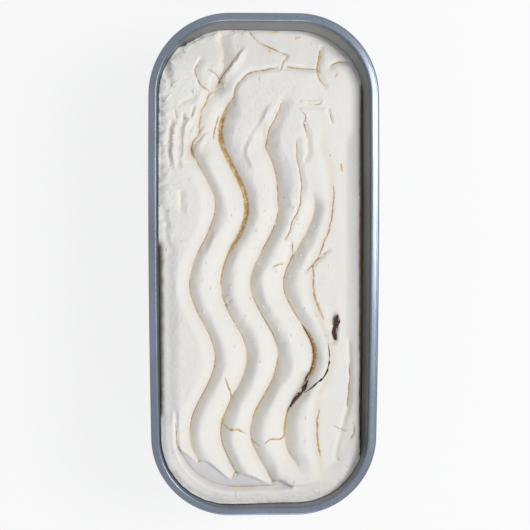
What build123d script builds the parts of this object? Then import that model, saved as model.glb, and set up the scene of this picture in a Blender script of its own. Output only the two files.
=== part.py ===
"""A long round-cornered steel serving pan filled with wavy ice cream and chocolate sauce.

Millimetres, +Z up. The origin is the centre of the pan's underside and the pan is long in Y.
"""

import os
from math import cos, pi, sin

from build123d import *

# Pan: the size over its flange is the standard one that sits in a serving cabinet.
pan_length = 360.0
pan_width = 165.0
pan_height = 120.0
corner_radius = 58.0
side_bow = 1.9  # how far the long sides swell outward at their middle
steel = 0.8

flange_width = 6.2  # from the outer edge to the inner wall
flange_drop = 4.5  # the turned-down edge
flange_roll = 1.8  # radius of its bends, down to that edge and down into the wall

neck_depth = 13.0  # upright wall between the flange and the stacking shoulder
neck_draft = 0.4
shoulder_step = 2.6  # how far the shoulder comes inward
shoulder_drop = 2.4
wall_draft = 4.6  # how much the wall leans inward from the shoulder to the base
base_radius = 20.0

# Ice cream: its mean level, then the rolls that a spatula pushed into it.
fill_drop = 16.5  # from the flange down to the creases at the middle
side_fall = 4.5  # the right side lies this much lower than the middle
end_fall = 2.0  # the far end lies this much lower than the middle
margin_rise = 4.0  # the flat left margin lies this much over the creases
roll_height = 6.5
still_share = 0.25  # share of that height left where the rolls have faded out
roll_pitch = 23.4
roll_count = 5
first_crease = -45.0  # mean x of the leftmost crease
wave_reach = 9.6  # sideways swing of every crease
wave_pitch = 102.0
wave_crest = 40.0  # y of a rightmost swing
rolls_near = -128.0  # the rolls run from this y
rolls_far = 88.0  # to this y, and fade over roll_fade beyond
roll_fade = 36.0
wall_gap = 0.5  # clearance between the ice cream and the pan
fill_foot = 30.0  # the ice cream's side is straight from this far under the flange

# The ice cream's facets.
facet_columns = 42
facet_rows = 40  # along the straight sides
corner_facets = 7
base_facets = 3

# Chocolate: a pool that lies in the right-hand slope and a ribbon in a deep crease.
pool_length = 18.0
pool_width = 4.8
pool_depth = 5.0
pool_x = 51.0
pool_y = -44.5
pool_turn = 93.0
ribbon_width = 3.6
ribbon_depth = 5.0
ribbon_reach_x = 15.0
ribbon_reach_y = 18.0
ribbon_x = 25.5
ribbon_y = -95.0

# Heights of the pan's sections, from the flange down.
neck_z = pan_height - neck_depth
wall_z = neck_z - shoulder_drop
neck_inset = flange_width + neck_draft
wall_inset = neck_inset + shoulder_step
base_inset = wall_inset + wall_draft


def outline(inset):
    """Draws the pan's plan outline, moved inward by inset, into the open sketch."""
    x_end = pan_width / 2 - side_bow - inset
    x_mid = pan_width / 2 - inset
    y_end = pan_length / 2 - inset
    with BuildLine() as border:
        Line((-x_end, y_end), (x_end, y_end))
        ThreePointArc((x_end, y_end), (x_mid, 0), (x_end, -y_end))
        Line((x_end, -y_end), (-x_end, -y_end))
        ThreePointArc((-x_end, -y_end), (-x_mid, 0), (-x_end, y_end))
    make_face(border.edges())
    fillet(vertices(), radius=corner_radius - inset)


def stage(low, low_inset, high, high_inset):
    """Adds the wall's block between two heights to the open part."""
    with BuildSketch(Plane.XY.offset(low)) as lower:
        outline(low_inset)
    with BuildSketch(Plane.XY.offset(high)) as upper:
        outline(high_inset)
    loft([lower.sketch, upper.sketch], ruled=True)


def basin(skin):
    """Adds the pan's whole basin, grown by skin all round, to the open part."""
    stage(steel - skin, base_inset - skin, wall_z - skin, wall_inset - skin)
    floor_edges = edges().group_by(Axis.Z)[0]
    fillet(floor_edges, radius=base_radius + skin)
    stage(wall_z - skin, wall_inset - skin, neck_z - skin, neck_inset - skin)
    stage(neck_z - skin, neck_inset - skin, pan_height, flange_width - skin)


def swing(y):
    """The sideways position that every crease shares at this y."""
    return wave_reach * cos(2 * pi * (y - wave_crest) / wave_pitch)


def fade(distance):
    """Goes smoothly from 1 at distance 0 and below to 0 at roll_fade."""
    share = min(max(distance / roll_fade, 0.0), 1.0)
    return 0.5 + 0.5 * cos(pi * share)


def strength(y):
    """How far the rolls stand at this y: 1 along the middle, still_share at the ends."""
    return still_share + (1 - still_share) * fade(y - rolls_far) * fade(rolls_near - y)


def crease_height(x, y):
    """Height of a crease: the sloping level, raised where the rolls fade out."""
    slope = side_fall * 2 * x / pan_width + end_fall * 2 * y / pan_length
    return pan_height - fill_drop - slope + roll_height * (1 - strength(y)) / 2


def crease_points(y):
    """The points between the rolls at this y, with the two at the block's sides."""
    across = [first_crease + swing(y) + roll_pitch * k for k in range(roll_count + 1)]
    left = (-pan_width / 2, crease_height(-pan_width / 2, y) + margin_rise * strength(y))
    right = (pan_width / 2, crease_height(pan_width / 2, y))
    return [left, *((x, crease_height(x, y)) for x in across), right]


def crown(k, y):
    """How high the arch after crease point k stands over its chord."""
    is_margin = k in (0, roll_count + 1)
    return roll_height * strength(y) * (still_share if is_margin else 1)


def surface_height(x, y):
    """Height of the ice cream at a point: the arch over the chord between two creases."""
    points = crease_points(y)
    for k, (start, end) in enumerate(zip(points, points[1:])):
        share = (x - start[0]) / (end[0] - start[0])
        if 0 <= share <= 1:
            chord = start[1] + share * (end[1] - start[1])
            return chord + 4 * share * (1 - share) * crown(k, y)
    raise ValueError("the point lies outside the pan")


def inset_at(z):
    """How far the lower wall's inside lies from the outer edge at this height."""
    return wall_inset + wall_draft * (wall_z - z) / (wall_z - steel)


def row_places(inset):
    """The y and half width of each row of facets, on the outline moved inward by inset."""
    radius = corner_radius - inset
    y_end = pan_length / 2 - inset
    y_corner = y_end - radius
    bows = [2 * j / facet_rows - 1 for j in range(facet_rows + 1)]
    sides = [
        (y_corner * v, pan_width / 2 - inset - side_bow * (y_corner * v / y_end) ** 2)
        for v in bows
    ]
    x_corner = sides[0][1] - radius
    turns = [pi / 2 * k / corner_facets for k in range(corner_facets, 0, -1)]
    near = [(-y_corner - radius * sin(turn), x_corner + radius * cos(turn)) for turn in turns]
    far = [(-y, reach) for y, reach in reversed(near)]
    return [*near, *sides, *far]


def grid(inset, height):
    """Rows of points over the outline moved inward, each as high as height(x, y) says."""
    shares = [2 * i / facet_columns - 1 for i in range(facet_columns + 1)]
    return [
        [Vector(reach * u, y, height(reach * u, y)) for u in shares]
        for y, reach in row_places(inset)
    ]


def rim_of(rows):
    """The outermost points of a grid, once round."""
    right = [row[-1] for row in rows[1:-1]]
    left = [row[0] for row in rows[1:-1]]
    return [*rows[0], *right, *reversed(rows[-1]), *reversed(left)]


def facets(line, next_line):
    """Two triangles for each pair of points along two neighbouring lines."""
    made = []
    for i in range(len(line) - 1):
        a, b, c, d = line[i], line[i + 1], next_line[i + 1], next_line[i]
        made.append(Face(Wire.make_polygon([a, b, c])))
        made.append(Face(Wire.make_polygon([a, c, d])))
    return made


def filling():
    """The ice cream as one closed solid of facets, from the wavy top to the pan's base."""
    top = grid(wall_inset + wall_gap, surface_height)
    foot_z = pan_height - fill_foot
    rims = [rim_of(top), rim_of(grid(inset_at(foot_z) + wall_gap, lambda x, y: foot_z))]
    for k in range(base_facets + 1):
        turn = pi / 2 * k / base_facets
        z = steel + wall_gap + base_radius * (1 - sin(turn))
        inset = inset_at(base_radius) + wall_gap + base_radius * (1 - cos(turn))
        rims.append(rim_of(grid(inset, lambda x, y: z)))
    sheet = [face for row, after in zip(top, top[1:]) for face in facets(row, after)]
    for upper, lower in zip(rims, rims[1:]):
        sheet.extend(facets([*upper, upper[0]], [*lower, lower[0]]))
    sheet.append(Face(Wire.make_polygon(rims[-1])))
    return Solid(Shell(sheet))


with BuildPart() as cavity:
    basin(0)

with BuildPart() as pan:
    basin(steel)
    with BuildSketch(Plane.XY.offset(pan_height - flange_drop)):
        outline(0)
    extrude(amount=flange_drop)
    with BuildSketch(Plane.XY.offset(pan_height - flange_drop)) as flange_hollow:
        outline(steel)
        with BuildSketch(mode=Mode.SUBTRACT):
            outline(flange_width - steel)
    extrude(amount=flange_drop - steel, mode=Mode.SUBTRACT)
    add(cavity.part, mode=Mode.SUBTRACT)
    flange_top = faces().sort_by(Axis.Z)[-1]
    fillet(flange_top.edges(), radius=flange_roll)
pan.part.label = "pan"

with BuildPart() as chocolate_pool:
    pool_top = surface_height(pool_x, pool_y)
    with BuildSketch(Plane.XY.offset(pool_top - pool_depth)):
        with Locations((pool_x, pool_y)):
            SlotOverall(pool_length, pool_width, rotation=pool_turn)
    extrude(amount=pool_depth)
    fillet(faces().sort_by(Axis.Z)[-1].edges(), radius=pool_width / 4)
chocolate_pool.part.label = "chocolate_pool"

with BuildPart() as chocolate_ribbon:
    ribbon_top = surface_height(ribbon_x, ribbon_y)
    with BuildSketch(Plane.XY.offset(ribbon_top - ribbon_depth)):
        with BuildLine():
            half_x = ribbon_reach_x / 2
            half_y = ribbon_reach_y / 2
            low_end = (ribbon_x - half_x, ribbon_y - half_y)
            high_end = (ribbon_x + half_x, ribbon_y + half_y)
            Spline(low_end, (ribbon_x - half_x / 4, ribbon_y), high_end, tangents=[(1, 2), (2, 1)])
        trace(line_width=ribbon_width)
    extrude(amount=ribbon_depth)
chocolate_ribbon.part.label = "chocolate_ribbon"

with BuildPart() as ice_cream:
    add(filling())
    add(chocolate_pool.part, mode=Mode.SUBTRACT)
    add(chocolate_ribbon.part, mode=Mode.SUBTRACT)
ice_cream.part.label = "ice_cream"

os.makedirs("parts", exist_ok=True)
export_step(pan.part, "parts/pan.step")
export_step(ice_cream.part, "parts/ice_cream.step")
export_step(chocolate_pool.part, "parts/chocolate_pool.step")
export_step(chocolate_ribbon.part, "parts/chocolate_ribbon.step")
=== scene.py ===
import logging
from dataclasses import dataclass
from enum import Enum
from math import cos, pi, radians, sin
from random import Random

import bmesh
import bpy
from bpy.types import ID, Material, Mesh, Node, NodeSocket, NodeTree, Object
from mathutils import Matrix, Vector
from mathutils.bvhtree import BVHTree


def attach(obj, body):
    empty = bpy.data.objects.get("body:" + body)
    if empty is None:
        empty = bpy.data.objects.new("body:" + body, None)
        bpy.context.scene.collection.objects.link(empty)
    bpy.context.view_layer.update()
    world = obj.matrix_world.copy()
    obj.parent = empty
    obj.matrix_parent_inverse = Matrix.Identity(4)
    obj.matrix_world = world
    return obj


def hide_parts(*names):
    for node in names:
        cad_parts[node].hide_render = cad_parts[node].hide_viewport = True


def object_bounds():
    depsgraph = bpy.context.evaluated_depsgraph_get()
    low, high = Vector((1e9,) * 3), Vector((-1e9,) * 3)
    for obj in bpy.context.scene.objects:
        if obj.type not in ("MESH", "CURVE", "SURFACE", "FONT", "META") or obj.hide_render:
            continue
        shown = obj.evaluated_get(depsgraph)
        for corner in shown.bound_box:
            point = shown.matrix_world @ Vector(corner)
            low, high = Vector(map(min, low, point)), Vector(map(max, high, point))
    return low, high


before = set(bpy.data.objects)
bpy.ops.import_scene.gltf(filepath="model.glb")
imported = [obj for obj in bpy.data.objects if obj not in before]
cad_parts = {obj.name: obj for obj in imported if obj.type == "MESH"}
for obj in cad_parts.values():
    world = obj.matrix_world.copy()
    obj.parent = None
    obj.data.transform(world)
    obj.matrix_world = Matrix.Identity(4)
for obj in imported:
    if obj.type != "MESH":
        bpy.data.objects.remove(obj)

log = logging.getLogger("ice_cream_pan")
CAD_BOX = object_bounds()
MM = 0.001
LOWEST_TOP = 99.0  # no place on the ice cream's top lies lower, in millimetres
LAMP_SIDE = (0.98, -0.2, 0.0)  # the way to the key lamp, seen from above
WHITE = (1.0, 1.0, 1.0, 1.0)


class Slot(Enum):
    """Kinds of material for the sauces, listed in main but not read."""

    STEEL = "steel"
    ICE_CREAM = "ice_cream"
    CHOCOLATE = "chocolate"
    CARAMEL = "caramel"


def linear(hex_colour: str) -> tuple[float, float, float, float]:
    """Turns an sRGB hex colour to linear light.

    Args:
        hex_colour: The colour as six hex digits.

    Returns:
        Linear red, green and blue, and an alpha of 1.
    """
    parts = [int(hex_colour[i:i + 2], 16) / 255 for i in (0, 2, 4)]
    red, green, blue = ((c / 12.92) if c <= 0.04045 else ((c + 0.055) / 1.055) ** 2.4 for c in parts)
    return (red, green, blue, 1.0)


def add_node(tree: NodeTree, kind: str, links: dict | None = None, **settings) -> Node:
    """Adds a node with its settings and links.

    Args:
        tree: The tree that gets the node.
        kind: The node's type name.
        links: For each input's name or number, the output or the value that it gets.
        settings: Attributes of the node.

    Returns:
        The new node.
    """
    node = tree.nodes.new(kind)
    for name, value in settings.items():
        setattr(node, name, value)
    for key, value in (links or {}).items():
        socket = node.inputs[key]
        if isinstance(value, Field):
            value = value.socket
        if isinstance(value, NodeSocket):
            tree.links.new(value, socket)
        else:
            socket.default_value = value
    return node


@dataclass(frozen=True)
class Field:
    """A number that varies over a mesh, written as ordinary arithmetic and kept as nodes."""

    tree: NodeTree
    socket: NodeSocket

    def calc(self, operation: str, *others: "Field | float") -> "Field":
        """Combines this with other numbers by one of the maths operations.

        Args:
            operation: The operation's name, such as "COSINE".
            others: Its further operands.

        Returns:
            The result.
        """
        links = dict(enumerate((self, *others)))
        node = add_node(self.tree, "ShaderNodeMath", links, operation=operation)
        return Field(self.tree, node.outputs[0])

    def __add__(self, other: "Field | float") -> "Field":
        """Adds."""
        return self.calc("ADD", other)

    def __sub__(self, other: "Field | float") -> "Field":
        """Subtracts."""
        return self.calc("SUBTRACT", other)

    def __mul__(self, other: "Field | float") -> "Field":
        """Multiplies."""
        return self.calc("MULTIPLY", other)

    def __truediv__(self, other: "Field | float") -> "Field":
        """Divides."""
        return self.calc("DIVIDE", other)

    def ramp(self, start: "Field | float", end: "Field | float") -> "Field":
        """Rises smoothly from 0 at start to 1 at end, or falls where end is the lower."""
        links = {"Value": self, "From Min": start, "From Max": end}
        node = add_node(self.tree, "ShaderNodeMapRange", links, interpolation_type="SMOOTHSTEP")
        return Field(self.tree, node.outputs[0])

    def window(self, low: float, high: float, fade: float) -> "Field":
        """Is 1 between low and high and falls smoothly to 0 over fade beyond them."""
        return self.ramp(low - fade, low) * self.ramp(high + fade, high)


def vector(tree: NodeTree, operation: str, *parts) -> NodeSocket:
    """Combines vectors by one of the vector operations, and returns the vector or the number."""
    node = add_node(tree, "ShaderNodeVectorMath", dict(enumerate(parts)), operation=operation)
    return node.outputs["Value" if operation == "DOT_PRODUCT" else "Vector"]


def blend(tree: NodeTree, amount: Field, first, second) -> NodeSocket:
    """Mixes two colours: the first where amount is 0, the second where it is 1."""
    node = add_node(tree, "ShaderNodeMix", {0: amount, 6: first, 7: second}, data_type="RGBA")
    return node.outputs[2]


def lumps(tree: NodeTree, place: NodeSocket, size_mm: float, detail: float) -> Field:
    """A smooth random number around 0.5 whose lumps have this size."""
    links = {"Vector": place, "Scale": 1 / (size_mm * MM), "Detail": detail}
    return Field(tree, add_node(tree, "ShaderNodeTexNoise", links).outputs[0])


def link_object(name: str, data: ID) -> Object:
    """Makes an object from its data and puts it in the scene."""
    obj = bpy.data.objects.new(name, data)
    bpy.context.scene.collection.objects.link(obj)
    return obj


def finished_mesh(name: str, source: Object) -> Object:
    """Turns an object with modifiers into a plain one.

    Args:
        name: The finished piece's name.
        source: The object to evaluate, which is then removed.

    Returns:
        The plain mesh object, in the scene.
    """
    evaluated = source.evaluated_get(bpy.context.evaluated_depsgraph_get())
    mesh = bpy.data.meshes.new_from_object(evaluated)
    mesh.name = name
    piece = link_object(name, mesh)
    bpy.data.objects.remove(source, do_unlink=True)
    return piece


def run_tree(name: str, tree: NodeTree, inputs: dict, base: Mesh) -> Object:
    """Runs a geometry tree on a mesh and returns the plain result.

    Args:
        name: The piece's name.
        tree: The geometry tree.
        inputs: A value for each named input of the tree.
        base: The mesh that the tree starts from.

    Returns:
        The finished piece.
    """
    source = link_object(name + "_source", base)
    modifier = source.modifiers.new("form", "NODES")
    modifier.node_group = tree
    for item in tree.interface.items_tree:
        if item.item_type == "SOCKET" and item.in_out == "INPUT" and item.name in inputs:
            modifier[item.identifier] = inputs[item.name]
    return finished_mesh(name, source)


def new_tree(name: str, sizes: dict[str, float]) -> tuple[NodeTree, Node, dict]:
    """Starts a geometry tree with named inputs.

    Args:
        name: The tree's name.
        sizes: The named inputs with their default values.

    Returns:
        The tree, its input node and its inputs as fields by name.
    """
    tree = bpy.data.node_groups.new(name, "GeometryNodeTree")
    tree.interface.new_socket("Geometry", in_out="INPUT", socket_type="NodeSocketGeometry")
    tree.interface.new_socket("Geometry", in_out="OUTPUT", socket_type="NodeSocketGeometry")
    for label, value in sizes.items():
        socket = tree.interface.new_socket(label, in_out="INPUT", socket_type="NodeSocketFloat")
        socket.default_value = value
    start = tree.nodes.new("NodeGroupInput")
    return tree, start, {label: Field(tree, start.outputs[label]) for label in sizes}


def end_tree(tree: NodeTree, geometry: NodeSocket, material: Material) -> None:
    """Ends a geometry tree with realized instances and a material."""
    real = add_node(tree, "GeometryNodeRealizeInstances", {"Geometry": geometry})
    dressed = add_node(tree, "GeometryNodeSetMaterial", {"Geometry": real.outputs[0], "Material": material})
    add_node(tree, "NodeGroupOutput", {"Geometry": dressed.outputs[0]})


def smooth_line(corners: tuple[tuple[float, float], ...], step: float) -> list[tuple[float, float]]:
    """Draws a smooth curve through a line's corner points.

    Args:
        corners: The corner points in millimetres.
        step: The distance between the returned points.

    Returns:
        Evenly placed points along the curve, its ends included.
    """
    ends = [corners[0], *corners, corners[-1]]
    curve = []
    for k in range(len(corners) - 1):
        before, start, end, after = (Vector(p) for p in ends[k:k + 4])
        count = max(round((end - start).length / step), 1)
        for i in range(count):
            t = i / count
            pull = (end - before) * (t - 2 * t**2 + t**3) + (after - start) * (t**3 - t**2)
            curve.append(tuple(start * (1 - 3 * t**2 + 2 * t**3) + end * (3 * t**2 - 2 * t**3) + pull * 0.5))
    return [*curve, corners[-1]]


# --------------------------------------------------------------------------- finishes


@dataclass(frozen=True)
class Finish:
    """What every finish has: a name and a base that the others build on."""

    name: str

    def start(self) -> tuple[Material, NodeTree, Node, NodeSocket]:
        """Makes the material, and returns it with its tree, its shader and its coordinates."""
        material = bpy.data.materials.new(self.name)
        material.use_nodes = True
        tree = material.node_tree
        shader = tree.nodes["Principled BSDF"]
        place = add_node(tree, "ShaderNodeTexCoord").outputs["Object"]
        return material, tree, shader, place

    def stain_or_shade(self, tree: NodeTree, name: str) -> Field:
        """How strongly a stain or painted shade that the piece keeps shows at a point."""
        return Field(tree, add_node(tree, "ShaderNodeAttribute", attribute_name=name).outputs["Fac"])

    def bump(self, shader: Node, height: Field, strength: float, depth_mm: float) -> None:
        """Roughens the shader's surface by a height pattern."""
        links = {"Height": height, "Strength": strength, "Distance": depth_mm * MM}
        node = add_node(height.tree, "ShaderNodeBump", links)
        height.tree.links.new(node.outputs[0], shader.inputs["Normal"])


@dataclass(frozen=True)
class BrushedSteel(Finish):
    """Stainless steel, deep drawn and brushed, with fine upright streaks; its grey-blue colour, darker than
    bare steel, is partly painted reflection of a dim surround.
    """

    name: str = "brushed_stainless_steel"
    # partly painted reflection: these base colours are darker and bluer than bare steel and stand for the
    # rim's dim reflections
    colour: str = "808997"
    dark_colour: str = "69727F"
    film_colour: str = "B9B8B2"
    film_metallic: float = 0.35
    roughness: float = 0.3
    streak_mm: float = 0.7
    streak_length: float = 40.0  # its length over its width
    cloud_mm: float = 45.4545

    def build(self) -> Material:
        """Builds the material."""
        material, tree, shader, place = self.start()
        across = 1 / (self.streak_mm * MM)
        stretch = add_node(tree, "ShaderNodeMapping", {"Vector": place})
        stretch.inputs["Scale"].default_value = (across, across, across / self.streak_length)
        streaks = lumps(tree, stretch.outputs[0], 1 / MM, 3.0)
        cloudy = streaks * 0.6 + lumps(tree, place, self.cloud_mm, 3.0) * 0.4
        tone = blend(tree, cloudy.ramp(0.3, 0.7), linear(self.dark_colour), linear(self.colour))
        film = self.stain_or_shade(tree, "film")
        filmed = blend(tree, film * 0.7, tone, linear(self.film_colour))
        tree.links.new(filmed, shader.inputs["Base Color"])
        rough = streaks * 0.14 + film * 0.2 + (self.roughness - 0.07)
        tree.links.new(rough.socket, shader.inputs["Roughness"])
        metal = film * (self.film_metallic - 1.0) + 1.0
        tree.links.new(metal.socket, shader.inputs["Metallic"])
        self.bump(shader, streaks, 0.12, 0.2)
        return material


@dataclass(frozen=True)
class FrozenCream(Finish):
    """Churned vanilla ice cream: a warm white body that light enters a little, matte where it is frosty, with
    painted shade in its creases, gaps and lower shelf.
    """

    name: str = "vanilla_ice_cream"
    colour: str = "F3F1EC"
    frost_colour: str = "F1EEEA"
    # painted shade: a darker, warmer tint in the creases and along sunken cuts
    crease_shade_colour: str = "E6DDCF"
    # painted shade: dark brown for the deep gaps between the ice cream and the pan's walls
    gap_shade_colour: str = "8A7456"
    # painted shade: the lower shelf at the near end is painted greyer, as if in soft shadow
    shelf_shade_colour: str = "DBD9DA"
    caramel_colour: str = "C8A564"
    grain_mm: float = 1.1
    roughness: float = 0.55

    def build(self) -> Material:
        """Builds the material."""
        material, tree, shader, place = self.start()
        colour = linear(self.colour)
        # Frost and caramel are the ice cream's own colours; the crease, shelf and gap colours are painted
        # shade.
        for name, stain_or_shade_colour in (
            ("frost", self.frost_colour),
            ("crease", self.crease_shade_colour),
            ("shelf", self.shelf_shade_colour),
            ("gap", self.gap_shade_colour),
            ("caramel", self.caramel_colour),
        ):
            colour = blend(tree, self.stain_or_shade(tree, name), colour, linear(stain_or_shade_colour))
        tree.links.new(colour, shader.inputs["Base Color"])
        shader.inputs["Roughness"].default_value = self.roughness
        shader.inputs["IOR"].default_value = 1.35
        shader.inputs["Subsurface Weight"].default_value = 0.12
        shader.inputs["Subsurface Radius"].default_value = (1.0, 0.8, 0.6)
        shader.inputs["Subsurface Scale"].default_value = 0.002
        grain = lumps(tree, place, self.grain_mm, 3.0)
        self.bump(shader, grain * (self.stain_or_shade(tree, "frost") * 0.8 + 0.2), 0.35, 0.8)
        return material


@dataclass(frozen=True)
class SauceFinish(Finish):
    """Cooked sugar or chocolate sauce: dark, thick and wet, with a sharp gloss."""

    name: str = "chocolate_sauce"
    colour: str = "2E120A"
    edge_colour: str = "5A2A16"
    roughness: float = 0.16
    clot_mm: float = 5.0

    def build(self) -> Material:
        """Builds the material."""
        material, tree, shader, place = self.start()
        clots = lumps(tree, place, self.clot_mm, 2.0)
        tone = blend(tree, clots.ramp(0.4, 0.7), linear(self.colour), linear(self.edge_colour))
        tree.links.new(tone, shader.inputs["Base Color"])
        shader.inputs["Roughness"].default_value = self.roughness
        shader.inputs["IOR"].default_value = 1.47
        self.bump(shader, clots, 0.3, 1.0)
        return material


# --------------------------------------------------------------------------- ice cream


@dataclass(frozen=True)
class Crease:
    """One of the long creases that run between the spatula's rolls, in millimetres.

    Args:
        centre: Its mean x.
        reach: Its sideways swing.
        low: The y where it begins.
        high: The y where it ends.
        depth: How deep it cuts.
        left: How wide its left bank is.
        right: How wide its right bank is, or 0 where the ground stays low beyond it.
        lean: How far its far end lies to the right of the wave.
        caramel: The low and high y of each stretch that caramel grains show along.
    """

    centre: float
    reach: float
    low: float
    high: float
    depth: float = 9.5
    left: float = 18.0
    right: float = 9.5
    lean: float = 0.0
    caramel: tuple[tuple[float, float], ...] = ()


@dataclass(frozen=True)
class Cut:
    """A family of folds, ridges or cracks: lines on the surface with one profile.

    Args:
        name: What the family is.
        lines: The corner points of each line, in millimetres.
        depth: How deep the lines cut, or how high they stand if negative.
        left: How far they reach on the side that turns away from the lamp.
        right: How far they reach on the lamp's side.
        power: How sharp the profile is at the line.
    """

    name: str
    lines: tuple[tuple[tuple[float, float], ...], ...]
    depth: float
    left: float
    right: float
    power: float = 1.3


VALLEYS = Cut(
    "valley",
    (
        ((-31, 165), (-29, 152), (-29, 143), (-32, 134), (-35, 128)),
        ((12.6, 119), (8, 107), (3.7, 98), (2.8, 89)),
    ),
    depth=5.0, left=3.0, right=9.0, power=1.5,
)

SWEEP = Cut(
    "sweep",
    (((-36, 130), (-43, 117), (-46, 108), (-46.5, 98), (-51, 89), (-54, 82)),),
    depth=8.0, left=3.5, right=19.0, power=1.7,
)

WEDGE = Cut(
    "wedge",
    (((3, 112), (-3, 101), (-8.5, 92), (-12, 83), (-8, 74)),),
    depth=-2.2, left=2.6, right=8.0, power=1.2,
)

SLOTS = Cut(
    "slot",
    (
        ((-46, 148), (-49, 142), (-47, 133), (-41, 127)),
        ((-68, 148), (-68, 138), (-67, 131)),
        ((28, 104), (31, 96), (31.5, 86), (30, 78)),
        ((-57.5, 106), (-61.5, 92), (-61, 74)),
        ((-66, 103), (-68, 90), (-67, 74)),
        ((-60, 54), (-59, 42)),
        ((41, 158), (39.5, 150), (38, 141), (40.5, 135), (43.5, 131)),
        ((24, 92), (23.5, 82), (27, 60), (26, 46), (21, 34), (15, 20)),
    ),
    depth=2.2, left=1.4, right=4.5, power=1.3,
)

KNIFE_RIDGES = Cut(
    "knife_ridge",
    (
        ((-15, 155), (-20, 147), (-26, 139), (-31, 131.5)),
        ((-43, 100), (-49, 92), (-54, 84), (-56, 78)),
        ((-43, 94), (-49, 84), (-50, 78)),
        ((-63.5, 101), (-65.5, 92), (-65, 78)),
        ((-54, 104), (-57, 96), (-57.5, 80)),
    ),
    depth=-2.4, left=0.9, right=4.6, power=1.2,
)

RIBS = Cut(
    "rib",
    (
        ((28, 119), (36, 118), (42, 120)),
        ((28, 113.5), (36, 113), (44, 113)),
    ),
    depth=-1.2, left=2.0, right=2.0, power=0.9,
)

FOLDS = Cut(
    "fold",
    (
        ((-22, 118), (-20, 128), (-16, 134), (-8, 140), (5, 142.5), (9, 143)),
        ((16, 144), (26, 143), (38, 142)),
        ((48, 144), (53, 147), (60, 147.5)),
        ((-38, 26), (-42, 14)),
        ((-57, 118), (-49, 122)),
        ((-70, 42), (-69, 22)),
        ((63, -55), (63.5, -80), (62.5, -100), (58, -118), (53, -140)),
        ((6, 0), (10, 2), (15, 2)),
        ((47, 12), (38, 4), (30, -3.5)),
        ((20, 18), (20, 6)),
    ),
    depth=1.8, left=3.0, right=3.0,
)

CRACKS = Cut(
    "crack",
    (
        ((-11, 172), (-9, 167), (-4, 162), (4, 157.5), (12, 154.5), (17, 152), (14, 147), (12, 142)),
        ((-63, 112), (-62, 107)),
        ((-57, 110), (-56.5, 106)),
        ((-49.5, 115), (-52, 108)),
        ((-47, 112), (-48, 105), (-53, 98)),
        ((-40, 142), (-34, 138), (-29, 132)),
        ((-34, 136), (-30, 130), (-37, 126)),
        ((-24, -23), (-28, -28)),
        ((31, 118), (37, 117), (41, 119)),
        ((47, 113), (49.5, 104)),
        ((51, -117), (56, -120), (60, -121)),
        ((66, -116), (67, -122), (64, -126)),
        ((-72, 87), (-61, 87.5)),
    ),
    depth=1.5, left=1.3, right=1.3, power=1.0,
)

HOLLOWS = Cut(
    "hollow",
    (
        ((52.5, -37), (53.0, -53)),
        ((32, -82), (30.5, -91), (24.5, -98), (18.5, -106)),
    ),
    depth=4.6, left=8.0, right=2.2, power=1.0,
)

FAMILIES = (VALLEYS, SWEEP, WEDGE, SLOTS, KNIFE_RIDGES, RIBS, FOLDS, CRACKS, HOLLOWS)


@dataclass(frozen=True)
class Ground:
    """The ice cream's coordinates in millimetres, as fields of one geometry tree.

    Args:
        tree: The tree.
        flat: The position with its height left out.
        bent: The same, moved a little at random.
        x: How far right a point lies.
        y: How far back it lies.
        border: How far inside the ice cream's edge it lies.
    """

    tree: NodeTree
    flat: NodeSocket
    bent: NodeSocket
    x: Field
    y: Field
    border: Field

    def noise(self, size_mm: float, detail: float) -> Field:
        """A smooth random number from -0.5 to 0.5 whose lumps have this size."""
        return lumps(self.tree, self.flat, size_mm, detail) - 0.5


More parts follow.
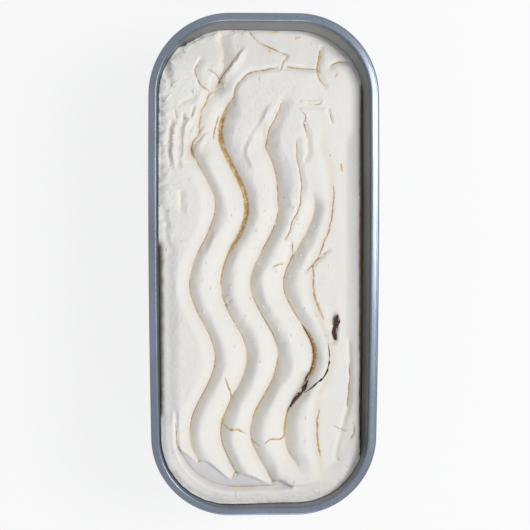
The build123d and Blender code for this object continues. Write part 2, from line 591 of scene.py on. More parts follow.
@dataclass
class IceCream:
    """The ice cream: one closed body whose top follows the spatula's waves."""

    half_length: float = 170.5
    half_width: float = 73.0
    side_bow: float = 1.9
    corner: float = 48.5
    columns: int = 208
    rows: int = 460
    crest: float = 111.5
    side_fall: float = 4.5
    end_fall: float = 2.0
    drift: float = 3.0  # slow unevenness of its level
    wave_pitch: float = 109.0
    wave_crest: float = 43.0
    wander: float = 4.0  # how far the creases stray from the wave
    foot: float = 92.0  # the hidden lower edge of its side
    shoulder: float = 104.3  # its side stays under this, where the pan narrows
    neck_spread: float = 2.6  # how far its top reaches out over that
    shelf_drop: float = 5.5
    trench: float = 8.5  # how far inside the edge the groove round the shelf runs
    trench_width: float = 2.2
    trench_depth: float = 2.6
    outer_drop: float = 1.5  # how low the band outside that groove lies
    far_dip: float = 6.5  # the far end goes down to the pan by this much
    right_dip: float = 1.6
    rim_dip: float = 1.6
    gap_depth: float = 3.0
    creases: tuple[Crease, ...] = (
        Crease(-44.8, 9.4, -150, 84, depth=7.0, left=11.0, right=8.0),
        Crease(-22.0, 9.2, -156, 112, caramel=((18, 106),)),
        Crease(0.9, 10.0, -162, 92, lean=9.0),
        Crease(26.0, 11.0, -138, 42, caramel=((-78, -52),)),
        Crease(41.8, 7.2, -92, 88, depth=3.2, left=9.0, right=0.0, lean=8.0),
        Crease(41.5, 4.0, -144, -100, depth=3.0, left=9.0, right=0.0),
    )
    shelf: tuple[tuple[float, float, float], ...] = (
        (-80.0, -112.0, 0.0), (-66.0, -122.0, 0.0), (-61.3, -131.0, 0.0), (-48.7, -142.8, 5.0),
        (-24.0, -155.6, 5.5), (6.2, -160.0, 3.5),
        (20.7, -161.0, 0.0), (23.0, -180.0, 0.0), (80.0, -180.0, 0.0),
    )

    def swing(self, y: Field) -> Field:
        """The sideways share of the wave at this y, from -1 to 1."""
        return ((y - self.wave_crest) * (2 * pi / self.wave_pitch)).calc("COSINE")

    def blank(self) -> Mesh:
        """A closed flat body: a fine top over the pan's inside outline, with sides and a base."""
        radius = self.corner
        y_corner = self.half_length - radius
        x_corner = self.half_width - self.side_bow * (y_corner / self.half_length) ** 2 - radius
        points, faces = [], []
        n, m = self.columns, self.rows
        for j in range(m + 1):
            y = self.half_length * (2 * j / m - 1)
            over = max(abs(y) - y_corner, 0.0)
            reach = self.half_width - self.side_bow * (y / self.half_length) ** 2
            if over > 0:
                reach = x_corner + (max(radius**2 - over**2, 0.0)) ** 0.5
            points.extend((reach * (2 * i / n - 1) * MM, y * MM, 0.0) for i in range(n + 1))
        for j in range(m):
            row = j * (n + 1)
            faces.extend((row + i, row + i + 1, row + n + 2 + i, row + n + 1 + i) for i in range(n))
        ring = list(range(n + 1))
        ring += [j * (n + 1) + n for j in range(1, m + 1)]
        ring += [m * (n + 1) + i for i in range(n - 1, -1, -1)]
        ring += [j * (n + 1) for j in range(m - 1, 0, -1)]
        count = len(ring)
        for mark in (-0.5, -1.0):
            first = len(points)
            points.extend((points[i][0], points[i][1], mark) for i in ring)
            lower = range(first, first + count)
            faces.extend((ring[k - 1], lower[k - 1], lower[k], ring[k]) for k in range(count))
            ring = lower
        faces.append(tuple(reversed(ring)))
        mesh = bpy.data.meshes.new("ice_cream_blank")
        mesh.from_pydata(points, [], faces)
        border = mesh.attributes.new("border", "FLOAT", "POINT")
        outward = mesh.attributes.new("outward", "FLOAT_VECTOR", "POINT")
        for k, (px, py, _) in enumerate(points):
            x, y = px / MM, py / MM
            side = self.half_width - self.side_bow * (y / self.half_length) ** 2 - abs(x)
            end = self.half_length - abs(y)
            inside, way = (side, Vector((1, 0))) if side < end else (end, Vector((0, 1)))
            if side < radius and end < radius:
                way = Vector((radius - side, radius - end))
                inside = radius - way.length
                way.normalize()
            border.data[k].value = inside
            outward.data[k].vector = (way.x * (1 if x > 0 else -1), way.y * (1 if y > 0 else -1), 0.0)
        return mesh

    def lines_object(self, cut: Cut) -> Object:
        """The lines of a family of cuts as edges at height 0."""
        points, edges = [], []
        for line in cut.lines:
            first = len(points)
            curve = smooth_line(line, 2.0)
            points.extend((x * MM, y * MM, 0.0) for x, y in curve)
            edges.extend((first + i, first + i + 1) for i in range(len(curve) - 1))
        mesh = bpy.data.meshes.new(cut.name)
        mesh.from_pydata(points, edges, [])
        return link_object(cut.name + "_lines", mesh)

    def nearness(self, ground: Ground, cut: Cut) -> Field:
        """Is 1 on the family's lines and 0 from their reach outward, which differs by side."""
        tree = ground.tree
        info = add_node(tree, "GeometryNodeObjectInfo", {"Object": bpy.data.objects[cut.name + "_lines"]})
        near = add_node(
            tree, "GeometryNodeProximity",
            {"Geometry": info.outputs["Geometry"], "Sample Position": ground.bent}, target_element="EDGES",
        )
        away = vector(tree, "SUBTRACT", ground.bent, near.outputs["Position"])
        lit = vector(tree, "DOT_PRODUCT", vector(tree, "NORMALIZE", away), LAMP_SIDE)
        width = Field(tree, lit) * ((cut.right - cut.left) / 2) + (cut.left + cut.right) / 2
        distance = Field(tree, near.outputs["Distance"]) * (1 / MM)
        return (distance / width * -1.0 + 1.0).calc("MAXIMUM", 0.0)

    def shelf_edge(self, x: Field) -> Field:
        """The y of the edge where the rolls' tongues end on the shelf: an arch between corners."""
        edge = x * 0.0
        for (x0, y0, rise), (x1, y1, _) in zip(self.shelf, self.shelf[1:]):
            share = (x - x0) / (x1 - x0)
            inside = share.calc("GREATER_THAN", 0.0) * share.calc("LESS_THAN", 1.0)
            turned = share * -1.0 + 1.0
            edge = edge + (share * (y1 - y0) + share * turned * turned * (6.7 * rise) + y0) * inside
        return edge

    def rolls(self, ground: Ground, level: Field) -> tuple[Field, Field, Field]:
        """Cuts the long creases between the rolls into the level.

        Args:
            ground: The coordinates.
            level: The height of the rolls' crests.

        Returns:
            The new height, how strongly painted shade darkens the ice cream near a crease and where caramel
            grains lie.
        """
        x, y = ground.x, ground.y
        height = level
        crease_shade = caramel = x * 0.0
        swing = self.swing(y)
        spread = ground.noise(24, 2) * 1.3 + 0.85
        grains = ground.noise(2.0, 2).ramp(-0.16, 0.02)
        place = x + ground.noise(36, 2) * self.wander
        inside = ground.border.ramp(4.0, self.trench + 5.0)
        for crease in self.creases:
            off = place - crease.centre - swing * crease.reach - y.ramp(45, 80) * crease.lean
            bank = off / -crease.left
            if crease.right:
                bank = (off * spread / crease.right).calc("MAXIMUM", bank)
            near = (bank.calc("MAXIMUM", 0.0) * -1.0 + 1.0).calc("MAXIMUM", 0.0)
            strength = y.window(crease.low, crease.high, 16.0) * inside
            height = height - near.calc("POWER", 2.0) * strength * crease.depth
            # painted shade: the ice cream is painted darker and warmer close to each crease
            closeness = (off.calc("ABSOLUTE") * (-1 / 7.0) + 1.0).calc("MAXIMUM", 0.0)
            crease_shade = crease_shade.calc("MAXIMUM", closeness.calc("POWER", 2.0) * strength * 0.7)
            for low, high in crease.caramel:
                band = off.window(-0.8, 1.6, 1.2) * y.window(low, high, 10.0)
                caramel = caramel.calc("MAXIMUM", band * grains)
        return height, crease_shade, caramel

    def edges(self, ground: Ground, gap: Field) -> Field:
        """What the ice cream's edges add to its height: dips to the pan, fraying and the gaps."""
        x, y, border = ground.x, ground.y, ground.border
        corner_zone = y.ramp(-100, -112) * x.ramp(42, 20)
        trench = ((border - self.trench).calc("ABSOLUTE") / -self.trench_width + 1.0).calc("MAXIMUM", 0.0)
        outside = border.ramp(self.trench, 0.0)
        added = (trench * self.trench_depth + outside * self.outer_drop) * corner_zone * -1.0
        dips = y.ramp(132, 171) * self.far_dip + x.ramp(50, 76) * self.right_dip
        dips = dips + border.ramp(3.0, 0.0) * self.rim_dip
        ragged = border.ramp(6.0, 1.0) * y.window(60, 180, 20.0) * x.ramp(-8, -20)
        jagged = border.ramp(4.0, 0.0) * y.ramp(-128, -140)
        dented = x.ramp(-60, -72) * y.window(15, 110, 12.0)
        added = added - dips + (ground.noise(4.5, 3) * 7.0 - 0.5) * ragged
        added = added + (ground.noise(5, 2) * 4.0 + 0.8) * jagged
        added = added + ground.noise(7, 2) * 5.0 * dented
        low_left = x.ramp(-60, -71) * y.window(-104, 14, 10.0)
        return added - (gap + low_left) * self.gap_depth

    def build(self, material: Material) -> Object:
        """Builds the ice cream's body.

        Args:
            material: Its finish.

        Returns:
            The finished piece.
        """
        sizes = {"Crest height": self.crest, "Side fall": self.side_fall, "End fall": self.end_fall}
        tree, start, named = new_tree("spatula_waves", sizes)
        place = add_node(tree, "GeometryNodeInputPosition").outputs[0]
        apart = add_node(tree, "ShaderNodeSeparateXYZ", {0: place}).outputs
        flat = add_node(tree, "ShaderNodeCombineXYZ", {0: apart[0], 1: apart[1]}).outputs[0]
        x, y = (Field(tree, apart[k]) * (1 / MM) for k in range(2))
        border = self.read(tree, "border", "FLOAT")
        ground = Ground(tree, flat, self.bend(tree, flat), x, y, border)
        mark = Field(tree, apart[2])
        is_top = mark.calc("GREATER_THAN", -0.25)
        is_foot = mark.calc("LESS_THAN", -0.75)
        level = named["Crest height"] - named["Side fall"] * (x / self.half_width)
        level = level - named["End fall"] * (y / self.half_length) + ground.noise(60, 1) * self.drift
        height, crease_shade, caramel = self.rolls(ground, level)
        # The shelf mask lowers the shelf and also paints it greyer as shade.
        shaded_shelf = (self.shelf_edge(x) - y + ground.noise(7, 2) * 1.5).ramp(-1.6, 1.6)
        shaded_shelf = shaded_shelf * border.ramp(self.trench - 1.0, self.trench + 1.0)
        height = height + (level - self.shelf_drop - height) * shaded_shelf
        for cut in FAMILIES:
            near = self.nearness(ground, cut)
            height = height - near.calc("POWER", cut.power) * cut.depth
            # painted shade: cuts that sink in are painted darker along their lines
            if cut.depth > 0:
                crease_shade = crease_shade.calc("MAXIMUM", near.calc("POWER", 3.0) * 0.7)
        rough_x = x + ground.noise(6, 3) * 1.2
        # These gaps by the left and right walls are cut deeper and painted dark brown as shade.
        left_shaded_gap = rough_x.ramp(-70.6, -72.6) * y.window(-104, 14, 6.0)
        gap = (rough_x.ramp(68.8, 71.8) * y.window(-140, 128, 8.0)).calc("MAXIMUM", left_shaded_gap)
        height = height + self.edges(ground, gap)
        frost = x.window(-22, 24, 5.0) * y.window(46, 130, 9.0)
        scraped = x.window(-76, -50, 6.0) * y.window(-120, 165, 20.0)
        height = height + ground.noise(1.6, 3) * (frost * 0.9 + scraped * 0.8 + 0.2)
        height = height + ground.noise(11, 2) * 1.1
        skirt = (height - 0.5).calc("MINIMUM", self.shoulder)
        skirt = skirt + (skirt * -1.0 + self.foot) * is_foot
        z = add_node(tree, "ShaderNodeMix", {0: is_top, 2: skirt, 3: height}, data_type="FLOAT")
        up = Field(tree, z.outputs[0]) * MM
        where = add_node(tree, "ShaderNodeCombineXYZ", {0: apart[0], 1: apart[1], 2: up})
        over_pan = height.ramp(105.2, 107.4) * border.ramp(5.0, 0.0) * is_top
        outward = self.read(tree, "outward", "FLOAT_VECTOR").socket
        push = vector(tree, "MULTIPLY", outward, over_pan * (self.neck_spread * MM))
        # The crease, gap and shelf masks hold painted shade; frost and caramel hold the ice cream's own
        # colour.
        stains_and_shade = {"crease": crease_shade, "gap": gap, "frost": frost, "shelf": shaded_shelf, "caramel": caramel}
        geometry = self.keep(tree, start.outputs["Geometry"], stains_and_shade)
        moved = add_node(
            tree, "GeometryNodeSetPosition",
            {"Geometry": geometry, "Position": where.outputs[0], "Offset": push},
        )
        smooth = add_node(tree, "GeometryNodeSetShadeSmooth", {"Geometry": moved.outputs[0]})
        end_tree(tree, smooth.outputs[0], material)
        piece = run_tree("ice_cream_body", tree, sizes, self.blank())
        for cut in FAMILIES:
            bpy.data.objects.remove(bpy.data.objects[cut.name + "_lines"], do_unlink=True)
        return piece

    def read(self, tree: NodeTree, name: str, kind: str) -> Field:
        """A named attribute of the surface."""
        node = add_node(tree, "GeometryNodeInputNamedAttribute", {"Name": name}, data_type=kind)
        return Field(tree, next(socket for socket in node.outputs if socket.enabled))

    def bend(self, tree: NodeTree, flat: NodeSocket) -> NodeSocket:
        """Moves positions a little at random, so that straight lines come out hand drawn."""
        for cut in FAMILIES:
            self.lines_object(cut)
        wander = add_node(tree, "ShaderNodeTexNoise", {"Vector": flat, "Scale": 140.0, "Detail": 2.0})
        centred = vector(tree, "SUBTRACT", wander.outputs["Color"], (0.5, 0.5, 0.5))
        return vector(tree, "ADD", flat, vector(tree, "MULTIPLY", centred, (0.003, 0.003, 0.0)))

    def keep(
        self, tree: NodeTree, geometry: NodeSocket, stains_and_shade: dict[str, Field]
    ) -> NodeSocket:
        """Keeps the stains and the painted shade on the surface as attributes that the material reads."""
        for name, value in stains_and_shade.items():
            node = add_node(
                tree, "GeometryNodeStoreNamedAttribute",
                {"Geometry": geometry, "Name": name, "Value": value}, data_type="FLOAT", domain="POINT",
            )
            geometry = node.outputs[0]
        return geometry


# --------------------------------------------------------------------------- scattered bits


@dataclass(frozen=True)
class Bits:
    """Small bits of frozen cream that lie on the surface, one kind in one piece.

    Args:
        name: The piece's name.
        size: Length, width and thickness of one bit in millimetres.
        per_square_metre: How many lie on a square metre where they are thickest.
        elsewhere: The share of that number which lies outside the thick region.
        region: The thick region's low x, high x, low y and high y.
        seed: The fixed seed of their places and turns.
        edge: How near the ice cream's edge they lie, or 0 for anywhere.
        turn: The direction they lie along, in degrees from x.
        stray: How far they turn from it.
        tilt: How far they stick up.
    """

    name: str
    size: tuple[float, float, float]
    per_square_metre: float
    elsewhere: float
    region: tuple[float, float, float, float]
    seed: int
    edge: float = 0.0
    turn: float = 0.0
    stray: float = 180.0
    tilt: float = 0.25

    def build(self, ground: Object, material: Material) -> Object:
        """Strews the bits over the ice cream.

        Args:
            ground: The finished ice cream.
            material: The bits' finish.

        Returns:
            The finished piece.
        """
        sizes = {"Number per square metre": self.per_square_metre, "Bit length": self.size[0]}
        tree, start, named = new_tree("strewn_" + self.name, sizes)
        place = add_node(tree, "GeometryNodeInputPosition").outputs[0]
        apart = add_node(tree, "ShaderNodeSeparateXYZ", {0: place})
        x, y, z = (Field(tree, socket) * (1 / MM) for socket in apart.outputs)
        low_x, high_x, low_y, high_y = self.region
        thick = x.window(low_x, high_x, 8.0) * y.window(low_y, high_y, 12.0)
        share = (thick * (1.0 - self.elsewhere) + self.elsewhere) * z.calc("GREATER_THAN", LOWEST_TOP)
        kept = add_node(tree, "GeometryNodeInputNamedAttribute", {"Name": "border"}, data_type="FLOAT")
        border = Field(tree, kept.outputs[0])
        clear = self.size[0] * 0.4
        share = share * border.ramp(clear, clear + 0.8)
        if self.edge:
            share = share * border.ramp(self.edge + 1.0, self.edge)
        dots = add_node(
            tree, "GeometryNodeDistributePointsOnFaces",
            {
                "Mesh": start.outputs["Geometry"],
                "Density": share * named["Number per square metre"],
                "Seed": self.seed,
            },
        )
        lump = add_node(tree, "GeometryNodeMeshIcoSphere", {"Radius": 0.5 * MM, "Subdivisions": 2})
        ragged = add_node(
            tree, "ShaderNodeTexNoise", {"Scale": 2600.0, "Detail": 1.0, "W": float(self.seed)},
            noise_dimensions="4D",
        )
        push = vector(tree, "SUBTRACT", ragged.outputs["Color"], (0.5, 0.5, 0.5))
        short = vector(tree, "MULTIPLY", push, (0.0003, 0.0003, 0.0002))
        dented = add_node(
            tree, "GeometryNodeSetPosition", {"Geometry": lump.outputs["Mesh"], "Offset": short}
        )
        stretch = add_node(
            tree, "ShaderNodeCombineXYZ", {0: named["Bit length"], 1: self.size[1], 2: self.size[2]}
        )
        bit = add_node(
            tree, "GeometryNodeTransform", {"Geometry": dented.outputs[0], "Scale": stretch.outputs[0]}
        )
        spin = add_node(
            tree, "FunctionNodeRandomValue",
            {
                0: (-self.tilt, -self.tilt, radians(self.turn - self.stray)),
                1: (self.tilt, self.tilt, radians(self.turn + self.stray)),
                "Seed": self.seed + 1,
            },
            data_type="FLOAT_VECTOR",
        )
        turned = add_node(
            tree, "FunctionNodeRotateRotation", {0: dots.outputs["Rotation"]}, rotation_space="LOCAL"
        )
        euler = add_node(tree, "FunctionNodeEulerToRotation", {0: spin.outputs[0]})
        tree.links.new(euler.outputs[0], turned.inputs[1])
        grow = add_node(
            tree, "FunctionNodeRandomValue", {2: 0.35, 3: 1.25, "Seed": self.seed + 2}, data_type="FLOAT"
        )
        strewn = add_node(
            tree, "GeometryNodeInstanceOnPoints",
            {
                "Points": dots.outputs["Points"],
                "Instance": bit.outputs[0],
                "Rotation": turned.outputs[0],
                "Scale": grow.outputs[1],
            },
        )
        smooth = add_node(tree, "GeometryNodeSetShadeSmooth", {"Geometry": strewn.outputs[0]})
        end_tree(tree, smooth.outputs[0], material)
        return run_tree(self.name, tree, sizes, ground.data.copy())


@dataclass(frozen=True)
class Sauce:
    """Sauce that lies on the ice cream: thin uneven veins along creases, or thick drops.

    Args:
        name: The piece's name.
        lines: The middle line of each vein, as corner points in millimetres.
        width: Its usual width.
        thickness: How thick it is.
        taper: The length over which each end thins out.
        unevenness: How much its width varies.
        sink: How far its middle lies under the ice cream's surface.
        settle: How far to each side it may slide to lie in the lowest place.
        seed: The fixed seed of its unevenness.
        around: How many points go once round it.
        step: The distance between its sections.
    """

    name: str
    lines: tuple[tuple[tuple[float, float], ...], ...]
    width: float
    thickness: float
    taper: float = 6.0
    unevenness: float = 0.35
    sink: float = 0.0
    settle: float = 1.2
    seed: int = 1
    around: int = 8
    step: float = 0.7

    def build(self, surface: BVHTree, material: Material) -> Object:
        """Lays the sauce on the ice cream.

        Args:
            surface: The finished ice cream's faces.
            material: The sauce's finish.

        Returns:
            The finished piece.
        """
        random = Random(self.seed)
        form = bmesh.new()
        for line in self.lines:
            path = self.settled(smooth_line(line, self.step), surface)
            waves = [(random.uniform(0.3, 1.1), random.uniform(0, 2 * pi)) for _ in range(4)]
            rings, last = [], len(path) - 1
            for k, (x, y, z) in enumerate(path):
                ahead, behind = path[min(k + 1, last)], path[max(k - 1, 0)]
                along = Vector((ahead[0] - behind[0], ahead[1] - behind[1])).normalized()
                swell = min(1.0, k * self.step / self.taper, (last - k) * self.step / self.taper) ** 0.6
                far = self.step * k * 0.6
                wave = sum(sin(far * rate * n + turn) for n, (rate, turn) in enumerate(waves, 1)) / 2
                swell *= max(1 + self.unevenness * (wave + random.uniform(-0.4, 0.4)), 0.4)
                ring = []
                for i in range(self.around):
                    turn = 2 * pi * i / self.around
                    side = self.width / 2 * swell * cos(turn)
                    up = self.thickness / 2 * min(swell, 1.0) * sin(turn) + z - self.sink
                    spot = Vector((x - along.y * side, y + along.x * side, up))
                    ring.append(form.verts.new(spot * MM))
                rings.append(ring)
            for ring, after in zip(rings, rings[1:]):
                for i in range(self.around):
                    j = (i + 1) % self.around
                    form.faces.new((ring[i], ring[j], after[j], after[i]))
        bmesh.ops.remove_doubles(form, verts=form.verts, dist=1e-6)
        bmesh.ops.recalc_face_normals(form, faces=form.faces)
        mesh = bpy.data.meshes.new(self.name)
        form.to_mesh(mesh)
        form.free()
        mesh.shade_smooth()
        mesh.materials.append(material)
        return link_object(self.name, mesh)

    def settled(self, line: list[tuple[float, float]], surface: BVHTree) -> list[tuple[float, float, float]]:
        """Slides each point of a line sideways to the lowest place near it, and lays it on the surface."""
        shifts, ways = [], []
        for k, point in enumerate(line):
            along = (Vector(line[min(k + 1, len(line) - 1)]) - Vector(line[max(k - 1, 0)])).normalized()
            way = Vector((-along.y, along.x))
            tries = [self.settle * (i / 4 - 1) for i in range(9)]
            heights = [(self.height(surface, Vector(point) + way * t) + 0.02 * abs(t), t) for t in tries]
            shifts.append(min(heights)[1])
            ways.append(way)
        laid = []
        for k, point in enumerate(line):
            near = shifts[max(k - 3, 0):k + 4]
            spot = Vector(point) + ways[k] * (sum(near) / len(near))
            laid.append((spot.x, spot.y, self.height(surface, spot)))
        return laid

    def height(self, surface: BVHTree, spot: Vector) -> float:
        """How high the surface lies at a place, in millimetres."""
        hit = surface.ray_cast(Vector((spot.x * MM, spot.y * MM, 1.0)), Vector((0, 0, -1)))[0]
        return hit.z / MM if hit else 100.0


def wave_line(crease: Crease, low: float, high: float) -> tuple[tuple[float, float], ...]:
    """Corner points along a crease of the ice cream between two places.

    Args:
        crease: The crease.
        low: The y where the line begins.
        high: The y where it ends.

    Returns:
        The points.
    """
    cream = IceCream()
    count = round((high - low) / 6)
    places = (low + (high - low) * k / count for k in range(count + 1))
    turns = ((y, 2 * pi * (y - cream.wave_crest) / cream.wave_pitch) for y in places)
    lean = crease.lean / 35
    return tuple(
        (crease.centre + crease.reach * cos(turn) + min(max(y - 45, 0) * lean, crease.lean), y)
        for y, turn in turns
    )


WAVES = IceCream().creases

CHOCOLATE_POOL = Sauce(
    "chocolate_pool_drop",
    (((54.4, -35.0), (54.4, -41), (53.0, -47), (53.4, -54)),),
    width=5.0, thickness=4.0, taper=4.0, unevenness=0.08, sink=-0.2, settle=0.2, seed=3, around=14,
)
CHOCOLATE_RIBBON = Sauce(
    "chocolate_ribbon_drop",
    (((33.5, -84), (31.8, -89), (27.5, -95), (23, -100.5), (18, -106.5)),),
    width=3.3, thickness=3.0, taper=5.0, unevenness=0.4, sink=0.4, settle=0.3, seed=5, around=12,
)
CHOCOLATE_THREADS = Sauce(
    "chocolate_threads",
    (
        ((46.5, -56), (47.5, -66), (46, -75), (42, -82), (36.5, -88), (30, -94)),
        ((30.5, -82), (32.2, -86), (31, -90)),
        ((42, -82), (37.5, -87.5), (33, -91)),
    ),
    width=1.3, thickness=0.9, taper=14.0, seed=7, settle=0.6,
)
CARAMEL_BAND = Sauce(
    "caramel_band",
    (
        wave_line(WAVES[1], 30, 108),
        wave_line(WAVES[1], 40, 72),
        ((41, 157), (40, 150), (38.5, 141), (38, 139)),
    ),
    width=2.4, thickness=1.0, taper=22.0, unevenness=0.75, sink=-0.6, seed=9, settle=3.0,
)
BURNT_CARAMEL = Sauce(
    "burnt_caramel_line",
    (
        wave_line(WAVES[3], -84, -42),
        ((35, -64), (35.5, -72), (31, -81), (32, -86)),
    ),
    width=1.6, thickness=0.8, taper=9.0, unevenness=0.3, sink=-0.4, seed=10, settle=2.5,
)
CARAMEL_VEINS = Sauce(
    "caramel_veins",
    (
        wave_line(WAVES[1], -14, 40),
        wave_line(WAVES[2], -112, -66),
        wave_line(WAVES[3], -124, -100),
        wave_line(WAVES[5], -140, -104),
        wave_line(WAVES[4], -40, -10),
        ((-30, -80), (-27.6, -88), (-26, -95), (-29.5, -110), (-28.8, -112.5), (-20, -119.5), (-14, -124)),
        ((-8.5, -125), (-2, -129)),
        ((0, -127), (11, -125), (17, -121.5), (18.5, -112)),
        ((-2, 161.5), (7, 157), (12, 154)),
        ((38.5, 139), (41, 134), (43.5, 131)),
        ((-29, 106), (-26.5, 112), (-24, 119)),
        ((-34, 110), (-37, 100), (-38, 92)),
    ),
    width=1.2, thickness=0.5, unevenness=0.35, sink=-0.2, seed=11, settle=2.0,
)
# Partly painted shade, partly syrup: thin light brown lines in the creases, folds and cracks stand for their
# shade as well as for syrup.
SHADE_AND_SYRUP_VEINS = Sauce(
    "browned_veins",
    (
        wave_line(WAVES[0], -120, -8),
        wave_line(WAVES[0], 10, 50),
        wave_line(WAVES[1], -150, -90),
        wave_line(WAVES[1], -60, -20),
        wave_line(WAVES[2], -60, -20),
        wave_line(WAVES[2], 10, 40),
        wave_line(WAVES[3], -40, 10),
        wave_line(WAVES[4], -30, 60),
        ((-37, 128), (-43, 117), (-46, 108), (-46.5, 98), (-51, 89), (-54, 82)),
        ((-46, 148), (-49, 142), (-47, 133), (-41, 127), (-41, 122)),
        ((-15.5, 154.5), (-20.5, 146.5), (-26.5, 138.5), (-31.5, 131)),
        ((-40, 142), (-34, 138), (-29, 132)),
        ((-23, 116), (-20, 128), (-16, 134), (-8, 140), (5, 142.5), (9, 143)),
        ((-11, 172), (-9, 167), (-4, 162)),
        ((12, 154.5), (17, 152), (14, 147), (12, 142)),
        ((16, 144), (26, 143), (38, 142)),
        ((48, 144), (53, 147), (60, 147.5)),
        ((36, 117.5), (39, 118), (42.5, 120)),
        ((46, 113), (48.5, 104)),
        ((27.5, 112), (31, 104), (31, 94)),
        ((12.6, 119), (8, 107), (3.7, 98), (2.8, 89), (4.5, 80)),
        wave_line(WAVES[2], 44, 84),
        ((24, 92), (23.5, 82), (27, 60), (26, 46), (21, 34), (15, 20)),
        ((-48.7, -142.8), (-47.5, -140.5), (-43, -140)),
        ((-24, -155.6), (-21.5, -153), (-17, -151)),
        ((6.2, -160), (9.5, -157.5), (14, -156)),
        ((-64.5, -112), (-64.5, -122), (-61, -131)),
        ((-28, -161), (-10, -163), (8, -162.5)),
        ((21, -155.5), (21, -160)),
        ((63.5, -70), (63.5, -92), (62, -104)),
        ((50, -117), (55, -120), (60, -121)),
        ((66, -114), (67, -121), (64, -127)),
        ((-63, 112), (-62, 107)),
        ((-57, 110), (-56.5, 105)),
        ((-49.5, 115), (-52, 108)),
        ((-28, -24), (-24, -20)),
        ((20, 19), (20, 10)),
        ((47, 12), (38, 4), (31, -3)),
        ((6, 0), (10, 2.5), (15, 3)),
    ),
    width=0.9, thickness=0.3, unevenness=0.3, sink=-0.12, seed=13, settle=1.6,
)
AMBER_SPOTS = Sauce(
    "amber_spots",
    (
        ((6.5, 167.5), (11, 168)),
        ((23, 163), (27.5, 164.5)),
        ((2.5, 155), (4, 153)),
        ((52, 136), (54, 139)),
        ((15.5, 52), (16.5, 50.5)),
        ((55, 75), (56, 69)),
        ((47, 82), (47, 80)),
        ((49.5, -43.5), (51, -46)),
        ((54, -142), (55.5, -143.5)),
        ((46, 114), (46.5, 112.5)),
    ),
    width=1.5, thickness=0.5, taper=1.2, seed=17,
)

BITS = (
    Bits("cream_slivers", (8.0, 1.3, 0.7), 5200.0, 0.0, (-74, -54, 20, 150), 11, turn=90.0, stray=22.0),
    Bits("scraped_curls", (4.0, 1.2, 0.6), 2600.0, 0.05, (-72, -26, 60, 165), 19, turn=70.0, stray=60.0),
    Bits("frayed_edge", (4.6, 1.2, 0.7), 60000.0, 0.0, (-80, -14, 110, 175), 29, edge=3.6, tilt=0.8),
    Bits("cream_crumbs", (2.2, 1.5, 1.2), 9000.0, 0.14, (-40, 45, -50, 60), 23),
    Bits("torn_flakes", (5.0, 1.4, 0.6), 30000.0, 0.0, (-48, 62, -180, -150), 37, edge=6.0, stray=30.0),
)


# --------------------------------------------------------------------------- pan


